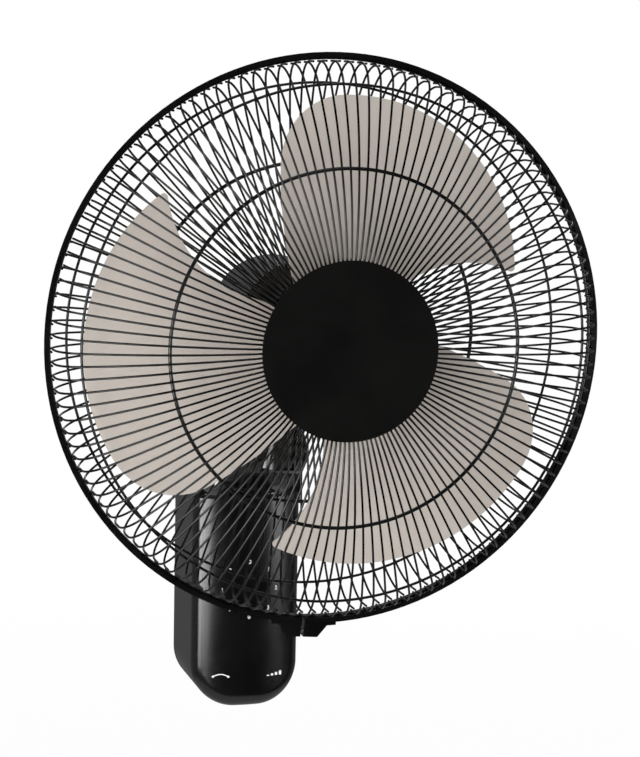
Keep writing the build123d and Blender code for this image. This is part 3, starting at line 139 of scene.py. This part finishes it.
# the blacks are near zero, so their look is mostly gloss; scales count patches or grains over a metre
finishes = {
    "glossBlackPlastic": {"dark": (0.0018, 0.0018, 0.0019), "light": (0.0030, 0.0030, 0.0032),
                          "driftScale": 30, "grainScale": 700, "roughness": (0.16, 0.23), "bump": 0.03,
                          "bumpDepth": 0.0002, "specular": 0.85},
    "satinBlackPlastic": {"dark": (0.003, 0.003, 0.003), "light": (0.005, 0.005, 0.005), "driftScale": 40,
                          "grainScale": 1500, "roughness": (0.34, 0.44), "bump": 0.12, "bumpDepth": 0.0001,
                          "specular": 0.3},
    "grainedBlackPlastic": {"dark": (0.0014, 0.0014, 0.0013), "light": (0.0026, 0.0026, 0.0023),
                            "driftScale": 25, "grainScale": 1900, "roughness": (0.50, 0.60), "bump": 0.25,
                            "bumpDepth": 0.00012, "specular": 0.09},
    "blackWirePaint": {"dark": (0.0018, 0.0018, 0.0018), "light": (0.0034, 0.0034, 0.0034),
                       "driftScale": 60, "grainScale": 900, "roughness": (0.16, 0.26), "bump": 0.08,
                       "bumpDepth": 0.0001, "specular": 0.5},
    "greyBladePlastic": {"dark": (0.455, 0.410, 0.370), "light": (0.500, 0.452, 0.408), "driftScale": 9,
                         "grainScale": 1300, "roughness": (0.42, 0.50), "bump": 0.06, "bumpDepth": 0.0001},
    "brushedSteel": {"dark": (0.50, 0.50, 0.51), "light": (0.62, 0.62, 0.63), "driftScale": 50,
                     "grainScale": 600, "stretch": (1, 0.04, 1), "streaks": True, "roughness": (0.22, 0.38),
                     "bump": 0.08, "bumpDepth": 0.00005, "metallic": 1, "anisotropic": 0.4},
    "castAluminium": {"dark": (0.55, 0.56, 0.57), "light": (0.70, 0.71, 0.72), "driftScale": 80,
                      "grainScale": 900, "roughness": (0.42, 0.58), "bump": 0.4, "bumpDepth": 0.0003,
                      "metallic": 1},
    "whiteCase": {"dark": (0.60, 0.60, 0.57), "light": (0.70, 0.70, 0.67), "driftScale": 20,
                  "grainScale": 900, "roughness": (0.38, 0.46), "bump": 0.05, "bumpDepth": 0.0001},
    "blackRubber": {"dark": (0.010, 0.010, 0.010), "light": (0.016, 0.016, 0.016), "driftScale": 40,
                    "grainScale": 1400, "roughness": (0.70, 0.82), "bump": 0.2, "bumpDepth": 0.0002},
    "whiteInk": {"dark": (0.78, 0.78, 0.77), "light": (0.84, 0.84, 0.83), "driftScale": 400,
                 "grainScale": 2500, "roughness": (0.45, 0.55), "bump": 0.05, "bumpDepth": 0.00003},
}
mats = {name: makeFinish(name, s) for name, s in finishes.items()}

woundCopper = {"strandScale": 300, "distortion": 0.6, "dark": (0.22, 0.07, 0.03),
               "light": (0.55, 0.22, 0.09), "glossScale": 300, "roughness": (0.25, 0.40), "bump": 0.6,
               "bumpDepth": 0.0003, "metallic": 0.8}


def makeWoundCopper(name, s):
    # enamelled strands laid round the fan's axis
    mat, nodes, links, shader = newMaterial(name)
    coords = nodes.new("ShaderNodeTexCoord")
    mapping = nodes.new("ShaderNodeMapping")
    mapping.inputs["Location"].default_value = -rimCentre
    strands = nodes.new("ShaderNodeTexWave")
    strands.wave_type = "RINGS"
    strands.rings_direction = "Y"
    strands.inputs["Scale"].default_value = s["strandScale"]
    strands.inputs["Distortion"].default_value = s["distortion"]
    links.new(coords.outputs["Object"], mapping.inputs["Vector"])
    links.new(mapping.outputs["Vector"], strands.inputs["Vector"])
    links.new(mixTones(nodes, links, strands, s["dark"], s["light"]), shader.inputs["Base Color"])
    patches = addNoise(nodes, links, s["glossScale"], detail=3)
    links.new(spreadRoughness(nodes, links, patches, *s["roughness"]), shader.inputs["Roughness"])
    addBump(nodes, links, shader, strands, s["bump"], s["bumpDepth"])
    shader.inputs["Metallic"].default_value = s["metallic"]
    return mat


mats["woundCopper"] = makeWoundCopper("woundCopper", woundCopper)
print("finishes made:", len(mats))

# which CAD piece wears which finish; the rest are brushed steel
wears = {
    "glossBlackPlastic": ["rear_shell", "front_cover", "top_cover", "neck", "column_housing", "motor_cover",
                          "speed_dial", "rim_band", "clip_left", "clip_right"],
    "satinBlackPlastic": ["guard_nut", "blade_nut", "swing_switch", "speed_switch", "terminal_block",
                          "swing_pull_rod", "speed_pull_lever", "cord_eyelets"],
    "grainedBlackPlastic": ["front_cap"],
    "greyBladePlastic": ["fan_blade"],
    "blackWirePaint": ["rear_wires_left", "rear_wires_right", "rear_middle_ring", "rear_outer_ring",
                       "rear_hub_plate", "front_wires_left", "front_wires_right", "front_middle_ring",
                       "front_outer_ring", "front_hub_plate", "edge_rings"],
    "castAluminium": ["swivel_bracket", "motor_front_bracket", "motor_rear_bracket"],
    "woundCopper": ["stator_windings"],
    "whiteCase": ["capacitor"],
    "blackRubber": ["mains_grommet"],
}
finishOf = {node: name for name, worn in wears.items() for node in worn}
for node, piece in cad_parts.items():
    piece.data.materials.clear()
    piece.data.materials.append(mats[finishOf.get(node, "brushedSteel")])

# how wide the mouldings' sharp edges are rounded: those where the surface turns by more than turn
edgeRound = {"turn": 40, "segments": 2}
edgeWidths = {"rear_shell": 0.0005, "front_cover": 0.0005, "top_cover": 0.0006, "neck": 0.0005,
              "motor_cover": 0.0004, "column_housing": 0.0005, "rim_band": 0.0004, "front_cap": 0.0006,
              "clip_left": 0.0008, "clip_right": 0.0008, "speed_dial": 0.0004, "wall_plate": 0.0003}
for node, width in edgeWidths.items():
    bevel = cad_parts[node].modifiers.new("softEdge", "BEVEL")
    bevel.width = width
    bevel.segments = edgeRound["segments"]
    bevel.limit_method = "ANGLE"
    bevel.angle_limit = math.radians(edgeRound["turn"])
    bevel.harden_normals = True
print("CAD pieces dressed")

# the cover's front bulges on a radius of crown; ink lies inkHeight above what it is printed on
boxFront = {"depth": 0.0885, "crown": 0.115, "dialHeight": 0.0015, "inkHeight": 0.00006}


def onFront(x, z):
    s = boxFront
    y = -(s["depth"] - s["crown"] + math.sqrt(s["crown"] ** 2 - x ** 2)) - s["inkHeight"]
    return Vector((x, y, z))


def addInk(name, shape, body):
    # turns a finished bmesh into a printed mark that rides on the body
    mesh = bpy.data.meshes.new(name)
    shape.to_mesh(mesh)
    shape.free()
    mesh.materials.append(mats["whiteInk"])
    piece = bpy.data.objects.new(name, mesh)
    bpy.context.collection.objects.link(piece)
    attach(piece, body)


# they are printed on the box round the dial, and stay while the dial turns
dialNumerals = {"radius": 0.0246, "numerals": "01230123", "size": 0.0052}


def numeralMesh(text, size, place):
    # Blender's own letter shape as a mesh on the box's front, centred on place
    curve = bpy.data.curves.new("numeral", "FONT")
    curve.body = text
    curve.size = size
    curve.align_x = "CENTER"
    curve.align_y = "CENTER"
    shown = bpy.data.objects.new("numeral", curve)
    bpy.context.collection.objects.link(shown)
    mesh = bpy.data.meshes.new_from_object(shown.evaluated_get(bpy.context.evaluated_depsgraph_get()))
    bpy.data.objects.remove(shown)
    for v in mesh.vertices:
        v.co = onFront(place[0] + v.co.x, place[1] + v.co.y)
    return mesh


def makeDialNumerals(s):
    ring = bmesh.new()
    for k, text in enumerate(s["numerals"]):
        turn = k * math.tau / len(s["numerals"])
        place = (s["radius"] * math.sin(turn), boxFront["dialHeight"] + s["radius"] * math.cos(turn))
        ring.from_mesh(numeralMesh(text, s["size"], place))
    addInk("dialNumerals", ring, "base")


def makeSymbol(name, outlines):
    # flat ink on the box's front: each outline is a closed loop of (x, z) points
    ink = bmesh.new()
    for outline in outlines:
        ink.faces.new([ink.verts.new(onFront(x, z)) for x, z in outline])
    bmesh.ops.recalc_face_normals(ink, faces=ink.faces)
    addInk(name, ink, "base")


swingSymbol = {"place": (-0.0243, -0.0754), "width": 0.0155, "sag": 0.00198, "lineWidth": 0.0008, "steps": 16,
               "headInset": 0.0017, "headLength": 0.00204, "headWidth": 0.00255, "headDrop": 0.000495}


def outlineSwing(s):
    # a flat arc with an arrowhead at each end
    centreX, centreZ = s["place"]
    reach, halfLine, halfHead = s["width"] / 2 - s["headInset"], s["lineWidth"] / 2, s["headWidth"] / 2
    shares = [2 * k / s["steps"] - 1 for k in range(s["steps"] + 1)]
    arc = [(centreX + reach * share, centreZ + s["sag"] * (0.5 - share * share)) for share in shares]
    outlines = [[(x, z + halfLine) for x, z in arc] + [(x, z - halfLine) for x, z in reversed(arc)]]
    for side, (x, z) in ((-1, arc[0]), (1, arc[-1])):
        tip = (x + side * s["headLength"], z - s["headDrop"])
        outlines.append([(x, z + halfHead), tip, (x, z - halfHead)])
    return outlines


speedSymbol = {"place": (0.0243, -0.0760), "width": 0.0155, "height": 0.0036, "bars": 4, "gap": 0.0016}


def outlineSpeed(s):
    # bars that grow taller to the right
    centreX, centreZ = s["place"]
    pitch, foot = s["width"] / s["bars"], centreZ - s["height"] / 2
    outlines = []
    for k in range(s["bars"]):
        left = centreX - s["width"] / 2 + k * pitch + s["gap"] / 2
        right = left + pitch - s["gap"]
        top = foot + s["height"] * (k + 1) / s["bars"]
        outlines.append([(left, foot), (right, foot), (right, top), (left, top)])
    return outlines


# the pointer's dot turns with the dial; face is the Y of what it is printed on
dialDot = {"height": 0.0139, "radius": 0.0009, "face": -0.0871, "sides": 24}


def makeDialDot(s):
    dot = bmesh.new()
    bmesh.ops.create_circle(dot, cap_ends=True, segments=s["sides"], radius=s["radius"])
    place = Matrix.Translation((0, s["face"] - boxFront["inkHeight"], s["height"]))
    upright = Matrix.Rotation(math.radians(90), 4, "X")
    bmesh.ops.transform(dot, matrix=place @ upright, verts=dot.verts)
    addInk("dialDot", dot, "speed_dial")


makeDialNumerals(dialNumerals)
makeSymbol("swingSymbol", outlineSwing(swingSymbol))
makeSymbol("speedSymbol", outlineSpeed(speedSymbol))
makeDialDot(dialDot)
print("marks printed")


def addMath(nodes, links, operation, first, second):
    # one maths node; first and second are sockets or plain numbers
    step = nodes.new("ShaderNodeMath")
    step.operation = operation
    for k, value in enumerate((first, second)):
        if isinstance(value, (int, float)):
            step.inputs[k].default_value = value
        else:
            links.new(value, step.inputs[k])
    return step.outputs[0]


def addFade(nodes, links, value, start, end, low, high):
    # low up to start, high from end on, and a soft change between them
    fade = nodes.new("ShaderNodeMapRange")
    fade.interpolation_type = "SMOOTHSTEP"
    fade.inputs["From Min"].default_value = start
    fade.inputs["From Max"].default_value = end
    fade.inputs["To Min"].default_value = low
    fade.inputs["To Max"].default_value = high
    links.new(value, fade.inputs["Value"])
    return fade.outputs["Result"]


def addMirrored(nodes, links, rays, plain, mirrored):
    # plain for every ray but one off a glossy surface, which sees mirrored
    choice = nodes.new("ShaderNodeMix")
    choice.inputs["A"].default_value = plain
    links.new(rays.outputs["Is Glossy Ray"], choice.inputs["Factor"])
    links.new(mirrored, choice.inputs["B"])
    return choice.outputs["Result"]


def addSeen(nodes, links, rays):
    # 1 for what the camera sees, straight or through something clear
    straight, through = rays.outputs["Is Camera Ray"], rays.outputs["Is Transmission Ray"]
    return addMath(nodes, links, "MAXIMUM", straight, through)


# gloss mirrors a dim studio in front of the fan and a grey one behind it
mirroredStudio = {"front": 0.008, "back": 0.16}

# white is the share of pure white in what the camera sees near the fan; frontEnds and backStarts are
# places along Y, and the other From and To values are distances from the floor's middle
floorLook = {"height": -0.85, "size": 400, "colour": 0.85, "roughness": 0.9, "white": 0.93, "whiteFrom": 1.2,
             "whiteTo": 4.0, "frontEnds": -1.2, "backStarts": 0.4, "under": 0.4, "underFrom": 0.9,
             "underTo": 1.7}


def makeFloor(s):
    mesh = bpy.data.meshes.new("floor")
    half = s["size"] / 2
    corners = [(-half, -half, 0), (half, -half, 0), (half, half, 0), (-half, half, 0)]
    mesh.from_pydata(corners, [], [(0, 1, 2, 3)])
    floor = bpy.data.objects.new("floor", mesh)
    floor.location.z = s["height"]
    bpy.context.collection.objects.link(floor)
    mat, nodes, links, shader = newMaterial("paleFloor")
    shader.inputs["Base Color"].default_value = (s["colour"], s["colour"], s["colour"], 1)
    shader.inputs["Roughness"].default_value = s["roughness"]
    coords = nodes.new("ShaderNodeTexCoord")
    axes = nodes.new("ShaderNodeSeparateXYZ")
    reach = nodes.new("ShaderNodeVectorMath")
    reach.operation = "LENGTH"
    links.new(coords.outputs["Object"], axes.inputs["Vector"])
    links.new(coords.outputs["Object"], reach.inputs[0])
    # the floor keeps the shadow, and turns pure white further off, so no horizon shows
    white = addFade(nodes, links, reach.outputs["Value"], s["whiteFrom"], s["whiteTo"], s["white"], 1)
    rays = nodes.new("ShaderNodeLightPath")
    seen = addMath(nodes, links, "MULTIPLY", addSeen(nodes, links, rays), white)
    share = addMath(nodes, links, "MAXIMUM", seen, rays.outputs["Is Glossy Ray"])
    # gloss also sees a brighter patch of floor right under the fan
    mirrored = addFade(nodes, links, axes.outputs["Y"], s["frontEnds"], s["backStarts"],
                       mirroredStudio["front"], mirroredStudio["back"])
    under = addFade(nodes, links, reach.outputs["Value"], s["underFrom"], s["underTo"], s["under"], 0)
    mirrored = addMath(nodes, links, "MAXIMUM", mirrored, under)
    glow = nodes.new("ShaderNodeEmission")
    glow.inputs["Color"].default_value = (1, 1, 1, 1)
    links.new(addMirrored(nodes, links, rays, 1, mirrored), glow.inputs["Strength"])
    mix = nodes.new("ShaderNodeMixShader")
    links.new(share, mix.inputs["Fac"])
    links.new(shader.outputs["BSDF"], mix.inputs[1])
    links.new(glow.outputs["Emission"], mix.inputs[2])
    links.new(mix.outputs["Shader"], nodes["Material Output"].inputs["Surface"])
    mesh.materials.append(mat)


# frontEnds and backStarts are the Y of a ray's direction: -1 is straight ahead of the fan
skyLook = {"light": 0.70, "frontEnds": -0.35, "backStarts": 0.25}


def makeSky(s):
    # white all round for the camera, and as strong as light says for matt surfaces
    world = bpy.data.worlds.new("studio")
    world.use_nodes = True
    nodes, links = world.node_tree.nodes, world.node_tree.links
    nodes.clear()
    coords, axes = nodes.new("ShaderNodeTexCoord"), nodes.new("ShaderNodeSeparateXYZ")
    links.new(coords.outputs["Generated"], axes.inputs["Vector"])
    mirrored = addFade(nodes, links, axes.outputs["Y"], s["frontEnds"], s["backStarts"],
                       mirroredStudio["front"], mirroredStudio["back"])
    rays = nodes.new("ShaderNodeLightPath")
    light = addMirrored(nodes, links, rays, s["light"], mirrored)
    strength = addMath(nodes, links, "MAXIMUM", addSeen(nodes, links, rays), light)
    sky = nodes.new("ShaderNodeBackground")
    sky.inputs["Color"].default_value = (1, 1, 1, 1)
    links.new(strength, sky.inputs["Strength"])
    out = nodes.new("ShaderNodeOutputWorld")
    links.new(sky.outputs["Background"], out.inputs["Surface"])
    bpy.context.scene.world = world


# each softbox looks at softboxAim; power is in watts
softboxes = {
    "keyLight": {"azimuth": -58, "elevation": -5, "distance": 2.2, "width": 1.0, "height": 1.15, "power": 27},
    "softLight": {"azimuth": -33, "elevation": -5, "distance": 2.3, "width": 0.7, "height": 1.1, "power": 20},
    "fillLight": {"azimuth": 43, "elevation": 0, "distance": 2.4, "width": 0.5, "height": 1.25, "power": 9},
    "topLight": {"azimuth": 10, "elevation": 62, "distance": 2.2, "width": 1.2, "height": 0.8, "power": 10},
    "backLight": {"azimuth": 160, "elevation": 35, "distance": 2.4, "width": 1.4, "height": 0.9, "power": 12},
}
softboxAim = Vector((0, -0.2, 0.15))


def makeSoftbox(name, s):
    data = bpy.data.lights.new(name, "AREA")
    data.shape = "RECTANGLE"
    data.size = s["width"]
    data.size_y = s["height"]
    data.energy = s["power"]
    lamp = bpy.data.objects.new(name, data)
    away = directionFrom(s["azimuth"], s["elevation"])
    lamp.location = softboxAim + away * s["distance"]
    lamp.rotation_mode = "QUATERNION"
    lamp.rotation_quaternion = away.to_track_quat("Z", "Y")
    bpy.context.collection.objects.link(lamp)


makeFloor(floorLook)
makeSky(skyLook)
for name, s in softboxes.items():
    makeSoftbox(name, s)
bpy.context.scene.view_settings.view_transform = "Standard"
print("studio lit")
